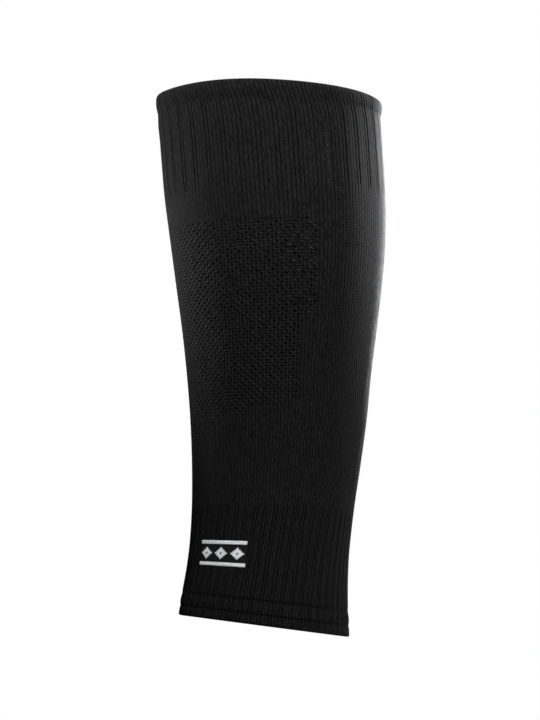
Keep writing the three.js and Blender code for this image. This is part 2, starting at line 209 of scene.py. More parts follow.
def valley(height, seam, depth, reach):
    """A soft dip along a seam line round the leg."""
    return -depth * (1 - smooth(np.abs(height - seam), 0, reach))


class Knit:
    """A mesh in the making: rows of points, faces, and their places on the knit."""

    def __init__(self):
        self.points, self.faces, self.uvs, self.slots = [], [], [], []
        self.first = self.count = 0

    def add(self, points, faces, uvs, slot=0):
        """faces hold point numbers from 0, and uvs a (wale, course) for each face corner.
        slot is the number of all the faces' material, or holds one for each."""
        self.points.append(np.asarray(points, float).reshape(-1, 3))
        self.first = self.count
        self.count += len(self.points[-1])
        self.add_faces(faces, uvs, slot)

    def add_faces(self, faces, uvs, slot=0):
        """More faces on the points that were added last."""
        self.faces.append(np.asarray(faces) + self.first)
        self.uvs.append(np.asarray(uvs, float).reshape(*np.shape(faces), 2))
        self.slots.append(np.full(len(faces), slot))

    def make(self, name, slots):
        """The finished object, with its materials in the order of their slots."""
        mesh = bpy.data.meshes.new(name)
        points = np.concatenate(self.points)
        sizes = np.concatenate([np.full(len(f), f.shape[1]) for f in self.faces])
        loops = np.concatenate([f.ravel() for f in self.faces])
        uvs = np.concatenate([u.reshape(-1, 2) for u in self.uvs])
        mesh.vertices.add(len(points))
        mesh.vertices.foreach_set("co", points.ravel().astype(np.float32))
        mesh.loops.add(len(loops))
        mesh.loops.foreach_set("vertex_index", loops.astype(np.int32))
        mesh.polygons.add(len(sizes))
        starts = np.concatenate([[0], np.cumsum(sizes)[:-1]])
        mesh.polygons.foreach_set("loop_start", starts.astype(np.int32))
        mesh.polygons.foreach_set("loop_total", sizes.astype(np.int32))
        layer = mesh.uv_layers.new(name="knit")
        layer.data.foreach_set("uv", uvs.ravel().astype(np.float32))
        mesh.polygons.foreach_set("use_smooth", np.ones(len(sizes), bool))
        mesh.polygons.foreach_set("material_index", np.concatenate(self.slots).astype(np.int32))
        mesh.update(calc_edges=True)
        mesh.validate()
        piece = bpy.data.objects.new(name, mesh)
        bpy.context.scene.collection.objects.link(piece)
        for slot in slots:
            mesh.materials.append(slot)
        return piece


# A grid's cell: the steps up and along to its four corners in turn, and for the steps to
# each neighbour, the two corners on that side.
CELL_STEPS = ((0, 0), (0, 1), (1, 1), (1, 0))
CELL_SIDES = {(-1, 0): (0, 1), (0, 1): (1, 2), (1, 0): (2, 3), (0, -1): (3, 0)}


def everywhere(wale, height):
    return np.ones(wale.shape, bool)


def grid_shell(wales, heights, outer, inner, keep=everywhere):
    """A closed curved shell over the kept cells of a grid. wales run round the leg and
    close on themselves if they span it all. outer and inner say how far out its faces
    lie. Its rims have points of their own, so that they are shaded apart from its faces."""
    closed = np.isclose(wales[-1] - wales[0], WALES)
    columns = wales[:-1] if closed else wales
    m, n = len(heights), len(columns)
    w, h = np.meshgrid(columns, heights)
    layers = [place(*on_cloth(w, h, face(w, h))).reshape(-1, 3) for face in (outer, inner)]
    mid_w = (wales[:-1] + wales[1:]) / 2
    mid_h = (heights[:-1] + heights[1:]) / 2
    kept = keep(*np.meshgrid(mid_w, mid_h))
    j, i = np.nonzero(kept)
    corner = [(j + up) * n + (i + along) % n for up, along in CELL_STEPS]
    at = [(wales[i + along], heights[j + up]) for up, along in CELL_STEPS]
    faces, uvs = [], []

    def put(numbers, places):
        faces.append(np.stack(numbers, -1))
        uvs.append(np.stack([np.stack([a, b / COURSE], -1) for a, b in places], 1))

    back = m * n
    rim = 2 * back
    put(corner, at)
    put([c + back for c in corner[::-1]], at[::-1])
    padded = np.pad(kept, 1)
    if closed:
        padded[1:-1, 0], padded[1:-1, -1] = kept[:, -1], kept[:, 0]
    for (up, along), (a, b) in CELL_SIDES.items():
        edge = ~padded[j + 1 + up, i + 1 + along]
        if edge.any():
            ca, cb = corner[a][edge], corner[b][edge]
            pa, pb = [(at[k][0][edge], at[k][1][edge]) for k in (a, b)]
            put([c + rim for c in (cb, ca, ca + back, cb + back)], [pb, pa, pa, pb])
    points = np.concatenate(layers * 2)
    faces, uvs = np.concatenate(faces), np.concatenate(uvs)
    used, renumbered = np.unique(faces, return_inverse=True)
    return points[used], renumbered.reshape(faces.shape), uvs


def even_lines(low, high, parts):
    return low + (high - low) * np.arange(parts + 1) / parts


MESH_WALE = 0.25  # wales between two lines of the meshes


def full_turn(repeat=1, extra=()):
    """Lines right round the leg, with the extra ones in each repeat."""
    own = sorted({*np.arange(0, repeat, MESH_WALE), *(e % repeat for e in extra)})
    starts = np.arange(0, WALES, repeat)
    return np.append((starts[:, None] + np.array(own)[None]).ravel(), WALES)


GROOVE_SIDES = [line + side * RIB_EDGE for line in CUFF_RIBS["lines"] for side in (-1, 1)]
CUFF_LINES = full_turn(CUFF_RIBS["repeat"], GROOVE_SIDES)
PLAIN_LINES = full_turn()

# Rows of the meshes.
CUFF_ROWS = 50
OVER_PANEL_ROWS = 9
UNDER_PANEL_ROWS = 23
ANKLE_ROWS = 55

CUFF_INSIDE = 0.3  # how strongly the cuff's knit shows inside, as a share
PLAIN_INSIDE = 0.4  # and the other zones'
WELT_VALLEY = (0.2, 6.0)  # depth of the dip under the welt, and its reach each way
HEM_VALLEY = (0.18, 1.6)

# Bare elastic where the knit is stretched, a bead for each stitch of it, pale as a painted glint: half
# its width, height and thickness in millimetres, and how far it is sunk in the cloth.
EYELET_BEAD = {"wide": 0.55, "tall": 0.36, "thick": 0.2, "sunk": 0.36}
EYELET_BEAD_LEAST = 0.3  # the share of an eyelet's elastic below which none shows
GROOVE_BEAD = {"wide": 0.26, "tall": 0.6, "thick": 0.24, "sunk": 0.2}
# Its lines in the cuff: the line between two wales that each follows, the heights over
# the hem where it starts and ends, and the size of its largest beads.
GROOVE_BEADS = [
    {"wale": 127, "foot": 240, "top": 264, "size": 0.75},
    {"wale": 130, "foot": 251, "top": 261, "size": 0.7},
    {"wale": 131, "foot": 238, "top": 273, "size": 1.05},
]
GROOVE_BEADS_FADE = 9.0  # millimetres from a line's ends to its largest beads
GROOVE_BEADS_LEAST = 0.3  # the smallest chance size within a line, as a share
BEAD_SMALLEST = 0.55
BEAD_SIDES = 6
BEAD_RINGS = 3
CUFF_SEED = 11


def add_beads(knit, wales, heights, sizes, wide, tall, thick, sunk):
    """Small rounded beads of yarn that lie in the cloth, in the piece's second material, which is pale
    as a painted glint.
    sizes: each bead's size as a share of wide, tall and thick."""
    along = np.pi * np.arange(1, BEAD_RINGS + 1) / (BEAD_RINGS + 1)
    around = 2 * np.pi * np.arange(BEAD_SIDES) / BEAD_SIDES
    b, a = np.meshgrid(along, around, indexing="ij")
    ring = np.stack([np.cos(b), np.sin(b) * np.cos(a), np.sin(b) * np.sin(a)], -1).reshape(-1, 3)
    shape = np.concatenate([[(1, 0, 0)], ring, [(-1, 0, 0)]])
    height, turn, out = (part[:, None] for part in on_cloth(wales, heights, -sunk))
    sizes = sizes[:, None]
    points = place(
        height + tall * sizes * shape[:, 1],
        turn + wide * sizes / radius_at(height) * shape[:, 0],
        out + thick * sizes * shape[:, 2],
    )
    last = len(shape) - 1
    end = last - BEAD_SIDES
    tips, sides = [], []
    for s in range(BEAD_SIDES):
        n = (s + 1) % BEAD_SIDES
        tips += [[0, 1 + s, 1 + n], [end + s, last, end + n]]
        for low in range(1, end, BEAD_SIDES):
            high = low + BEAD_SIDES
            sides.append([low + s, high + s, high + n, low + n])
    bases = np.arange(len(points))[:, None, None] * len(shape)
    sides = (bases + np.array(sides)).reshape(-1, 4)
    tips = (bases + np.array(tips)).reshape(-1, 3)
    knit.add(points, sides, np.zeros((*sides.shape, 2)), slot=1)
    knit.add_faces(tips, np.zeros((*tips.shape, 2)), slot=1)


def make_cuff(slots):
    """The ribbed cuff, whose ribs rise out of the plain knit below."""
    knit = Knit()

    def outer(wale, height):
        risen = smooth(height - CUFF_FOOT, *RIB_FADE)
        return ribbed(wale, CUFF_RIBS, risen) + valley(height, WELT_FOOT, *WELT_VALLEY)

    def inner(wale, height):
        return -RIB_WALL - CUFF_INSIDE * ribbed(wale, CUFF_RIBS)

    heights = even_lines(CUFF_FOOT, WELT_FOOT, CUFF_ROWS)
    knit.add(*grid_shell(CUFF_LINES, heights, outer, inner))
    rng = np.random.default_rng(CUFF_SEED)
    for line in GROOVE_BEADS:
        heights = np.arange(line["foot"], line["top"], 2 * COURSE)
        ends = np.minimum(heights - line["foot"], line["top"] - heights)
        uneven = rng.uniform(GROOVE_BEADS_LEAST, 1, len(heights))
        grown = smooth(ends, 0, GROOVE_BEADS_FADE) * uneven
        sizes = line["size"] * (BEAD_SMALLEST + (1 - BEAD_SMALLEST) * grown)
        wales = np.full(len(heights), float(line["wale"]))
        add_beads(knit, wales, heights, sizes, **GROOVE_BEAD)
    return knit.make("knit_cuff", slots)


# The eyelet panel's steps from the lowest up: (foot as a share of its height, reach each
# way round from the shin in degrees).
PANEL_STEPS = [(0, 28), (0.069, 72), (0.112, 90), (0.155, 101), (0.534, 113)]
SHIN_WALE = SHIN / WALE_TURN + WALE_PHASE
EYELET_ROW = PANEL_HEIGHT / round(PANEL_HEIGHT / (2 * COURSE))
PANEL_SEED = 7


def panel_reach(height):
    """How far the eyelet panel reaches round from the shin, in radians."""
    within = [degrees for foot, degrees in PANEL_STEPS if height >= PANEL_FOOT + foot * PANEL_HEIGHT]
    return math.radians(within[-1])


def panel_cells():
    """The panel's rows of eyelet cells: for each its foot, its first and last wale lines,
    and by how many wales its cells are shifted. The lines fall on even wales."""
    rows = []
    for k in range(round(PANEL_HEIGHT / EYELET_ROW)):
        foot = PANEL_FOOT + k * EYELET_ROW
        reach = panel_reach(foot + EYELET_ROW / 2) / WALE_TURN
        low, high = (2 * round((SHIN_WALE + side * reach) / 2) for side in (-1, 1))
        rows.append((foot, low, high, k % 2))
    return rows


PANEL_ROWS = panel_cells()


def make_tube(slots):
    """The plain tube, with the panel's stepped window."""
    knit = Knit()
    feet = [foot for foot, *_ in PANEL_ROWS]
    lower = even_lines(ANKLE_RIB_TOP, PANEL_FOOT, UNDER_PANEL_ROWS)
    upper = even_lines(PANEL_TOP, CUFF_FOOT, OVER_PANEL_ROWS)
    heights = np.concatenate([lower[:-1], feet, upper])

    def outer(wale, height):
        return plain_relief(wale)

    def inner(wale, height):
        return -KNIT_WALL - PLAIN_INSIDE * plain_relief(wale)

    def keep(wale, height):
        held = np.zeros(wale.shape, bool)
        for foot, low, high, _ in PANEL_ROWS:
            held |= (height > foot) & (height < foot + EYELET_ROW) & (wale > low) & (wale < high)
        return ~held

    knit.add(*grid_shell(PLAIN_LINES, heights, outer, inner, keep))
    return knit.make("knit_tube", slots)


# An eyelet cell's border from the lower left round: shares of the cell's width and height,
# and millimetres out from the cloth's face.
CELL_BORDER = [
    (0, 0, -0.03),
    (0.5, 0, -0.06),
    (1, 0, -0.03),
    (1, 0.5, 0.03),
    (1, 1, -0.03),
    (0.5, 1, -0.06),
    (0, 1, -0.03),
    (0, 0.5, 0.03),
]
CORNERS = len(CELL_BORDER)
EYELET_WIDE = 0.13  # half width, as a share of a cell
EYELET_TALL = 0.3
EYELET_CORNER = 0.62  # how full the diamond's slanting sides are
EYELET_EDGE = -0.22  # millimetres out from the cloth's face
EYELET_END = 0.15 - PANEL_WALL  # and its far end, where it is nearly shut
EYELET_SHUT = 0.02  # its size there, as a share of that at its edge
EYELET_UNEVEN = 0.35  # in size
EYELET_DRIFT = 0.05  # off the cell's middle, as a share of it
EYELET_DRAWN = 0.6  # how much wider and taller the most stretched are
EYELET_BARE = 0.1  # the least chance share of its elastic, where 1 is all of it
STRETCH_TURN = (math.radians(86), math.radians(98))  # away from the shin, none to full
STRETCH_HEIGHT = (PANEL_TOP - 85, PANEL_TOP - 15)


def eyelet_stretch(turn, height):
    """How far the cloth is drawn open: most where the panel ends over the calf's side."""
    return smooth(np.abs(turn - SHIN), *STRETCH_TURN) * smooth(height, *STRETCH_HEIGHT)


def add_eyelets(knit, starts, foot, rng):
    """A row of cells, each a pit in a ring of knit. Its wall is the third material, near black as
    painted shade.
    """
    n = len(starts)
    across, up, outs = np.array(CELL_BORDER, float).T
    border = np.stack([across, up], -1)
    full = np.where(np.arange(CORNERS) % 2 == 0, EYELET_CORNER, 1.0)[:, None]
    diamond = 2 * (border - 0.5) * (EYELET_WIDE, EYELET_TALL) * full
    stretch = eyelet_stretch(turn_of(starts + EYELET_WALES / 2, foot), foot)[:, None, None]
    size = 1 + EYELET_UNEVEN * rng.uniform(-1, 1, (n, 1, 1)) + EYELET_DRAWN * stretch
    middle = 0.5 + EYELET_DRIFT * rng.uniform(-1, 1, (n, 1, 2))
    whole = np.broadcast_to(border, (n, CORNERS, 2))
    rings = [
        (whole, outs),
        (middle + diamond * size, EYELET_EDGE),
        (middle + diamond * size * EYELET_SHUT, EYELET_END),
        (whole, -PANEL_WALL),
    ]
    points, places = [], []
    for share, out in rings:
        wale = starts[:, None] + share[..., 0] * EYELET_WALES
        height = foot + share[..., 1] * EYELET_ROW
        points.append(place(*on_cloth(wale, height, out)))
        places.append(np.stack([wale, height / COURSE], -1))
    base = np.arange(n)[:, None] * CORNERS * len(rings)
    faces, uvs = [], []
    for r in range(len(rings) - 1):
        for k in range(CORNERS):
            after = (k + 1) % CORNERS
            corners = ((r, k), (r, after), (r + 1, after), (r + 1, k))
            faces.append(base + [ring * CORNERS + c for ring, c in corners])
            uvs.append(np.stack([places[ring][:, c] for ring, c in corners], 1))
    # The pits' walls take the third material: painted shade.
    slots = np.repeat([0, 2, 0], CORNERS * n)
    knit.add(np.stack(points, 1), np.concatenate(faces), np.concatenate(uvs), slots)
    bare = stretch[:, 0, 0] * rng.uniform(EYELET_BARE, 1, n)
    drawn = bare > EYELET_BEAD_LEAST
    wales = starts + middle[:, 0, 0] * EYELET_WALES
    heights = foot + middle[:, 0, 1] * EYELET_ROW
    sizes = BEAD_SMALLEST + (1 - BEAD_SMALLEST) * smooth(bare, EYELET_BEAD_LEAST, 1) ** 2
    add_beads(knit, wales[drawn], heights[drawn], sizes[drawn], **EYELET_BEAD)


def make_panel(slots):
    """The eyelet panel: rows of cells, staggered, with plain knit where a row ends."""
    knit = Knit()
    rng = np.random.default_rng(PANEL_SEED)

    def outer(wale, height):
        return 0.0

    def inner(wale, height):
        return -PANEL_WALL

    for foot, low, high, shift in PANEL_ROWS:
        starts = np.arange(low + shift, high - EYELET_WALES + 1, EYELET_WALES).astype(float)
        add_eyelets(knit, starts, foot, rng)
        for first, last in ((low, starts[0]), (starts[-1] + EYELET_WALES, high)):
            if last > first:
                heights = np.array([foot, foot + EYELET_ROW])
                knit.add(*grid_shell(even_lines(first, last, 2), heights, outer, inner))
    return knit.make("knit_panel", slots)


BADGE_FLAT = (-0.2, 0.9)  # millimetres past the badge's edge, none of the ribs to all
BADGE_SUNK = 0.75  # how deep the ankle lies under the badge


def badge_share(wale, height):
    """1 within the badge, where the ribs lie flat under it, 0 away from it."""
    turn = np.mod(turn_of(wale, height), 2 * math.pi)
    across = np.abs(turn - BADGE_TURN) * radius_at(BADGE_LEVEL)
    up = np.abs(height - BADGE_LEVEL)
    beside = smooth(across - BADGE_WIDTH / 2, *BADGE_FLAT)
    over = smooth(up - BADGE_HEIGHT / 2, *BADGE_FLAT)
    return (1 - beside) * (1 - over)


def make_ankle(slots):
    """The ribbed ankle, lying flat under the badge."""
    knit = Knit()

    def outer(wale, height):
        risen = smooth(ANKLE_RIB_TOP - height, *RIB_FADE)
        ribs = ribbed(wale, ANKLE_RIBS, risen) + valley(height, HEM_HEIGHT, *HEM_VALLEY)
        under = badge_share(wale, height)
        return ribs * (1 - under) - BADGE_SUNK * under

    def inner(wale, height):
        return -RIB_WALL - PLAIN_INSIDE * ribbed(wale, ANKLE_RIBS)

    heights = even_lines(HEM_HEIGHT, ANKLE_RIB_TOP, ANKLE_ROWS)
    knit.add(*grid_shell(PLAIN_LINES, heights, outer, inner))
    return knit.make("knit_ankle", slots)


# The welt's and the hem's sections: share of the height, millimetres out from the cloth's
# face, share of the wall inwards, and how strongly the ribs show.
WELT_SECTION = [
    (0.0, -0.2, 0, 1.0),
    (0.1, -0.1, 0, 1.0),
    (0.3, 0.35, 0, 0.9),
    (0.5, 0.65, 0, 0.9),
    (0.76, 0.65, 0, 0.9),
    (0.94, 0.15, 0, 0.7),
    (1.0, 0, 0.42, 0.4),
    (0.94, 0, 0.86, 0.3),
    (0.74, 0, 1.0, 0.4),
    (0.0, 0, 1.0, 0.4),
]
HEM_SECTION = [
    (1.0, 0, 1.0, 0.3),
    (0.1, 0, 1.0, 0.3),
    (0.0, 0, 0.55, 0.3),
    (0.03, 0, 0, 0.6),
    (0.14, 0.15, 0, 0.8),
    (0.34, 0.1, 0, 0.8),
    (0.42, -0.15, 0, 0.8),
    (0.5, 0.05, 0, 0.9),
    (0.7, 0.08, 0, 1.0),
    (0.92, 0.0, 0, 1.0),
    (1.0, -0.18, 0, 1.0),
]
HEM_CREASE_ROW = 6
SECTION_PARTS = 3  # mesh steps between two rows of a section

# The sewn seam's thread, a zigzag over the hem: its foot and top as shares of the hem's
# height, its pitch in wales, and how far out it lies and half its width in millimetres.
SEWN_SHARES = (0.48, 0.88)
SEWN_PITCH = 3
SEWN_OUT = -0.05
SEWN_WIDE = 0.16


def curve_through(rows, parts):
    """A smooth open curve through a section's rows, with parts steps between rows."""
    rows = np.array(rows, float)
    padded = np.concatenate([rows[:1], rows, rows[-1:]])
    t = (np.arange(parts) / parts)[:, None]
    runs = []
    for p0, p1, p2, p3 in zip(padded, padded[1:], padded[2:], padded[3:]):
        squared = 2 * p0 - 5 * p1 + 4 * p2 - p3
        cubed = 3 * p1 - p0 - 3 * p2 + p3
        runs.append(0.5 * (2 * p1 + (p2 - p0) * t + squared * t**2 + cubed * t**3))
    return np.concatenate([*runs, rows[-1:]])


def section_curve(rows, foot, tall, wall):
    """A section in millimetres, height over the hem, out and ribs, on a smooth curve."""
    points = [(foot + up * tall, out - deep * wall, ribs) for up, out, deep, ribs in rows]
    return curve_through(points, SECTION_PARTS)


def section_run(section):
    """How far round a section each point lies, counted on from its first one's height."""
    steps = np.hypot(*np.diff(section[:, :2], axis=0).T)
    return section[0, 0] + np.concatenate([[0], np.cumsum(steps)])


def band(section, wales, relief):
    """A closed band round the leg. section: (height, out, share of the relief) round it.
    The face from its last point back to its first has points of its own."""
    n, m = len(wales) - 1, len(section)
    w, k = np.meshgrid(wales[:-1], np.arange(m), indexing="ij")
    out = section[k, 1] + section[k, 2] * relief(w)
    points = place(*on_cloth(w, section[k, 0], out)).reshape(-1, 3)
    i, j = np.meshgrid(np.arange(n), np.arange(m), indexing="ij")
    own = np.where(j == m - 1, n * m, 0)
    corners = [(i + along) % n * m + (j + up) % m + own for up, along in CELL_STEPS]
    faces = np.stack([c.ravel() for c in corners], -1)
    run = section_run(section)
    run = np.append(run, run[-1] + 1)
    at = [(wales[i + along], run[j + up]) for up, along in CELL_STEPS]
    uvs = np.stack([np.stack([a.ravel(), b.ravel() / COURSE], -1) for a, b in at], 1)
    return np.concatenate([points, points]), faces, uvs


def make_welt(slots):
    """The turned edge: doubled cloth, standing a little proud of the cuff."""
    knit = Knit()

    def relief(wale):
        return ribbed(wale, CUFF_RIBS, WELT_RIBS)

    section = section_curve(WELT_SECTION, WELT_FOOT, WELT_HEIGHT, WELT_WALL)
    knit.add(*band(section, CUFF_LINES, relief))
    return knit.make("knit_welt", slots)


def make_hem(stitching):
    """The turned hem with its sewn crease, into which the ankle's ribs run on."""
    knit = Knit()

    def relief(wale):
        return ribbed(wale, ANKLE_RIBS, HEM_RIBS)

    section = section_curve(HEM_SECTION, 0.0, HEM_HEIGHT, HEM_WALL)
    run = section_run(section)
    # Shade is painted along the hem's crease and along its top, where it meets the ankle.
    seams = (run[HEM_CREASE_ROW * SECTION_PARTS] / COURSE, run[-1] / COURSE)
    cloth = knit_material("knit_hem", ribs=ANKLE_RIBS, shade=HEM_SHADE, seams=seams)
    knit.add(*band(section, PLAIN_LINES, relief))
    foot, top = (share * HEM_HEIGHT for share in SEWN_SHARES)
    ends = [(0, foot), (SEWN_PITCH / 2, top), (SEWN_PITCH, foot)]
    for wale in np.arange(0, WALES, SEWN_PITCH):
        for (before, low), (after, high) in zip(ends, ends[1:]):
            start = on_cloth(wale + before, low, SEWN_OUT)
            end = on_cloth(wale + after, high, SEWN_OUT)
            add_leg(knit, start, end, SEWN_WIDE, slot=1)
    return knit.make("knit_hem", [cloth, stitching])


LEG_SIDES = 6
LEG_STEPS = 4
LEG_FACES = [
    [(k + up) * LEG_SIDES + (s + along) % LEG_SIDES for up, along in CELL_STEPS]
    for k in range(LEG_STEPS)
    for s in range(LEG_SIDES)
]
# Two faces close the six points of each end.
LEG_FACES += [[3, 2, 1, 0], [5, 4, 3, 0]]
LEG_FACES += [[LEG_STEPS * LEG_SIDES + s for s in face] for face in ((0, 1, 2, 3), (0, 3, 4, 5))]
LEG_THIN = 0.35  # its least width, as a share of its greatest
LEG_TIP = 0.12  # how far along the swelling it starts and ends
LEG_ARCH = 0.18  # how far its middle stands up, in millimetres
LEG_FLAT = 0.8  # its thickness, as a share of its width


def add_leg(knit, start, end, width, slot, at=(0, 0)):
    """A short fat leg of yarn from start to end, both (height, turn, out). width is half
    its width in millimetres, and at its place on the knit."""
    start, end = np.array(start), np.array(end)
    radius = radius_at(start[0])
    rings = []
    for t in np.arange(LEG_STEPS + 1) / LEG_STEPS:
        swell = math.sin(math.pi * (LEG_TIP + (1 - 2 * LEG_TIP) * t))
        fat = width * (LEG_THIN + (1 - LEG_THIN) * swell)
        height, turn, out = start + (end - start) * t
        out = out + LEG_ARCH * math.sin(math.pi * t)
        for side in 2 * math.pi * np.arange(LEG_SIDES) / LEG_SIDES:
            aside = fat * math.cos(side) / radius
            rings.append((height, turn + aside, out + LEG_FLAT * fat * math.sin(side)))
    points = place(*np.array(rings, float).T)
    knit.add(points, LEG_FACES, np.full((len(LEG_FACES), 4, 2), at), slot)


# The badge's knit, a mark for each stitch from the top course down: # is light yarn.
BADGE_CHART = [
    "###########################",
    "###########################",
    "...........................",
    "...........................",
    "....#........#........#....",
    "...###......###......###...",
    "..#####....#####....#####..",
    ".###.###..###.###..###.###.",
    "..#####....#####....#####..",
    "...###......###......###...",
    "....#........#........#....",
    "...........................",
    "...........................",
    "###########################",
    "###########################",
]
# The legs of its stitches: how far they stand from the stitch's middle at their feet and
# tops, and their half width, as shares of its width, how many courses they reach, and
# their feet's and tops' millimetres out.
STITCH_FEET = 0.1
STITCH_TOPS = 0.36
STITCH_YARN = 0.3
STITCH_REACH = 1.55
STITCH_FEET_OUT = -0.15
STITCH_TOPS_OUT = 0.05


def make_badge(dark, light):
    """The badge: every stitch a V of two yarn legs, dark or light by the chart."""
    knit = Knit()
    rows, columns = len(BADGE_CHART), len(BADGE_CHART[0])
    wide = BADGE_WIDTH / columns
    tall = BADGE_HEIGHT / rows
    turn = wide / radius_at(BADGE_LEVEL)
    for r, line in enumerate(BADGE_CHART):
        foot = BADGE_LEVEL + (rows / 2 - r - 1) * tall
        top = foot + STITCH_REACH * tall
        for c, mark in enumerate(line):
            centre = BADGE_TURN + (c + 0.5 - columns / 2) * turn
            for side in (-1, 1):
                start = (foot, centre + side * STITCH_FEET * turn, STITCH_FEET_OUT)
                end = (top, centre + side * STITCH_TOPS * turn, STITCH_TOPS_OUT)
                slot = 1 if mark == "#" else 0
                add_leg(knit, start, end, STITCH_YARN * wide, slot, at=(c + 0.5, rows - r))
    return knit.make("badge_knit", [dark, light])


class Nodes:
    """Short words for building a material's nodes."""

    def __init__(self, name):
        self.material = bpy.data.materials.new(name)
        self.material.use_nodes = True
        self.tree = self.material.node_tree
        self.shader = self.tree.nodes["Principled BSDF"]

    def feed(self, sockets, values):
        """Links or sets a node's inputs, by name or number."""
        for key, value in values.items():
            if isinstance(value, bpy.types.NodeSocket):
                self.tree.links.new(value, sockets[key])
            else:
                sockets[key].default_value = value

    def made(self, kind, values, output=0, **settings):
        """One output of a new node."""
        node = self.tree.nodes.new(kind)
        for key, value in settings.items():
            setattr(node, key, value)
        self.feed(node.inputs, values)
        return node.outputs[output]

    def math(self, operation, *values):
        return self.made("ShaderNodeMath", dict(enumerate(values)), operation=operation)

    def times(self, a, b):
        return self.math("MULTIPLY", a, b)

    def away(self, a, b):
        """How far apart two values are."""
        return self.math("ABSOLUTE", self.math("SUBTRACT", a, b))

    def ramp(self, value, low, high, to_low=0.0, to_high=1.0):
        """to_low up to low, to_high from high on, and a soft change between them."""
        values = {"Value": value, "From Min": low, "From Max": high, "To Min": to_low, "To Max": to_high}
        return self.made("ShaderNodeMapRange", values, "Result", interpolation_type="SMOOTHSTEP")

    def combine(self, x, y):
        return self.made("ShaderNodeCombineXYZ", {"X": x, "Y": y})

    def noise(self, vector, scale, detail, rough):
        values = {"Vector": vector, "Scale": scale, "Detail": detail, "Roughness": rough}
        return self.made("ShaderNodeTexNoise", values, "Fac")

    def mix(self, share, low, high):
        """A colour from low to high. The inputs go by number, as some share a name."""
        return self.made("ShaderNodeMix", {0: share, 6: low, 7: high}, 2, data_type="RGBA")

    def bump(self, height, strength, deep):
        values = {"Strength": strength, "Distance": deep * MM, "Height": height}
        return self.made("ShaderNodeBump", values)

    def finish(self, values):
        """The material, with the shader's inputs fed."""
        self.feed(self.shader.inputs, values)
        return self.material


YARN = (0.0055, 0.0055, 0.0056, 1)
YARN_LIGHT = (0.0185, 0.0185, 0.019, 1)
# Near black: painted shade between strands and wales, in the ribs' grooves, along seams and in the
# eyelets' pits; also the low end of the badge's dark yarn.
PAINTED_SHADE_AND_DARK_YARN = (0.0015, 0.0015, 0.0016, 1)
# Light specks on the knit's raised strands: a painted glint.
PAINTED_GLINT = (0.03, 0.03, 0.031, 1)
# The elastic beads' pale colour: a painted glint on real beads of elastic.
ELASTIC = (0.03, 0.03, 0.031, 1)
ELASTIC_LIGHT = (0.11, 0.11, 0.112, 1)
BADGE_YARN = (0.7, 0.71, 0.73, 1)
BADGE_YARN_LIGHT = (0.92, 0.93, 0.95, 1)

KNIT_SURFACE = {
    "Roughness": 0.88,
    "Specular IOR Level": 0.05,
    "Sheen Weight": 0.06,
    "Sheen Roughness": 0.4,
    "Sheen Tint": (0.9, 0.9, 0.95, 1),
}
YARN_SURFACE = {"Roughness": 0.85, "Specular IOR Level": 0.1}

# A stitch's drawing. A place lies 0 from its wale's middle, where the two legs meet, to 1
# at the wale's edge. The ramps are (from, to, value before, value after), and the noises
# (scale, detail, roughness), over so many spots in a wale and in a course.
LEG_SLANT = 0.75  # courses that a leg climbs on its way to the edge
STRAND_ROUND = 0.7  # under 1, the yarn is full and the lines between strands narrow
LEGS_MEET = (0.0, 0.25, 0.35, 1.0)
WALES_MEET = (0.78, 1.0, 1.0, 0.2)
FUZZ_SPOTS = (7.0, 5.0)
FUZZ_NOISE = (1.0, 3.0, 0.65)
FUZZ_SHARE = 0.35  # its height, as a share of the stitch's
KNIT_BUMP = 0.55

STREAK_LEGS = 2.0  # a streak of lighter or darker yarn is one leg wide
STREAK_COURSES = 0.15
STREAK_NOISE = (1.7, 2.0, 0.6)
STREAK_RAMP = (0.25, 0.75)
# Painted shade: the colour goes toward near black between the strands, where a wale's legs meet and at
# its edges.
DARK_STRANDS = (0.05, 0.55, 0.75, 0.0)
LIGHT_MIDDLE = (0.0, 0.3, 0.75, 1.0)
DARK_EDGE = (0.5, 0.9, 1.0, 0.0)
DARK_EDGE_SHADE = 0.85
GROOVE_FADE = (0.4, 1.6)  # groove widths from its middle, from the darkest painted shade to none
SEAM_FADE = (0.35, 1.2)  # courses from a seam's middle, from the darkest painted shade to none
SEAM_SHADE = 0.9
# A painted glint: lighter specks on the raised strands.
GLINT_SPOTS = (2.3, 1.7)
GLINT_NOISE = (1.0, 1.0, 0.5)
GLINT_RAMP = (0.6, 0.72)
GLINT_STRANDS = (0.3, 0.8)
GLINT_SHARE = 0.5

CUFF_SHADE = 0.9  # how much shade is painted in the grooves
ANKLE_SHADE = 0.95
HEM_SHADE = 0.7
KNIT_RELIEF = 0.36  # the bump's depth in millimetres
EYELET_RELIEF = 0.24

YARN_NOISE = (2600.0, 3.0, 0.6)  # over metres
YARN_RAMP = (0.3, 0.7)
YARN_BUMP = 0.4
YARN_RELIEF = 0.1


def stitch_height(g, leg, course):
    """How high the yarn stands: each stitch is a V of two legs that climb to its edges."""
    slide = g.math("ADD", course, g.times(leg, LEG_SLANT))
    strand = g.math("SINE", g.times(g.math("FRACT", slide), math.pi))
    strand = g.math("POWER", strand, STRAND_ROUND)
    return g.times(strand, g.times(g.ramp(leg, *LEGS_MEET), g.ramp(leg, *WALES_MEET)))


